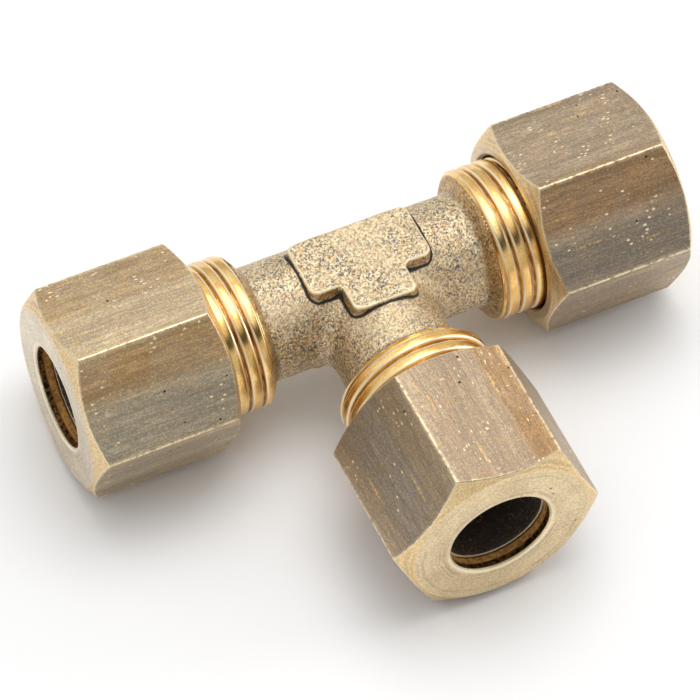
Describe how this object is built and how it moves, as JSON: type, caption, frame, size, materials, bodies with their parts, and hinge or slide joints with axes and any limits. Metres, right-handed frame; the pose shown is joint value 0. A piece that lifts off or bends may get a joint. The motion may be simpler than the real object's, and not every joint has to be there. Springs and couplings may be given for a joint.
{
  "type": "tee compression fitting",
  "caption": "Equal tee compression fitting for 10 mm tube: forged brass tee body with threaded arms, hexagon union nuts and compression rings that slide as the nuts are screwed.",
  "frame": {"origin": "the tee's centre, where the axes of the three arms meet, in the middle of the run's flow passage", "axes": "+X and -X along the run (right and left arm), -Y along the branch, +Z out of the upper holding pad"},
  "size_m": [0.0644, 0.043, 0.0208],
  "materials": {
    "forged_brass": "grit-blasted forging, machined threads",
    "nut_brass": "drawn hexagon bar, dull, turned end faces",
    "ring_metal": "blackened"
  },
  "bodies": {
    "body": {"tee_body": "forged_brass"},
    "ring_left": {"ring_left": "ring_metal"},
    "ring_right": {"ring_right": "ring_metal"},
    "ring_branch": {"ring_branch": "ring_metal"},
    "nut_left": {"nut_left": "nut_brass"},
    "nut_right": {"nut_right": "nut_brass"},
    "nut_branch": {"nut_branch": "nut_brass"}
  },
  "joints": [
    {"name": "ring_left_slide", "type": "slide", "parent": "body", "child": "ring_left", "axis": [-1, 0, 0], "range_m": [-0.0022, 0.0046]},
    {"name": "nut_left_turn", "type": "hinge", "parent": "ring_left", "child": "nut_left", "pos_m": [-0.0244, 0, 0], "axis": [-1, 0, 0], "range_deg": [-504, 1080]},
    {"name": "ring_right_slide", "type": "slide", "parent": "body", "child": "ring_right", "axis": [1, 0, 0], "range_m": [-0.0022, 0.0046]},
    {"name": "nut_right_turn", "type": "hinge", "parent": "ring_right", "child": "nut_right", "pos_m": [0.0244, 0, 0], "axis": [1, 0, 0], "range_deg": [-504, 1080]},
    {"name": "ring_branch_slide", "type": "slide", "parent": "body", "child": "ring_branch", "axis": [0, -1, 0], "range_m": [-0.0022, 0.0046]},
    {"name": "nut_branch_turn", "type": "hinge", "parent": "ring_branch", "child": "nut_branch", "pos_m": [0, -0.0244, 0], "axis": [0, -1, 0], "range_deg": [-504, 1080]}
  ],
  "couplings": [
    {"joint": "ring_left_slide", "follows": "nut_left_turn", "m_per_rad": 0.00023873},
    {"joint": "ring_right_slide", "follows": "nut_right_turn", "m_per_rad": 0.00023873},
    {"joint": "ring_branch_slide", "follows": "nut_branch_turn", "m_per_rad": 0.00023873}
  ]
}
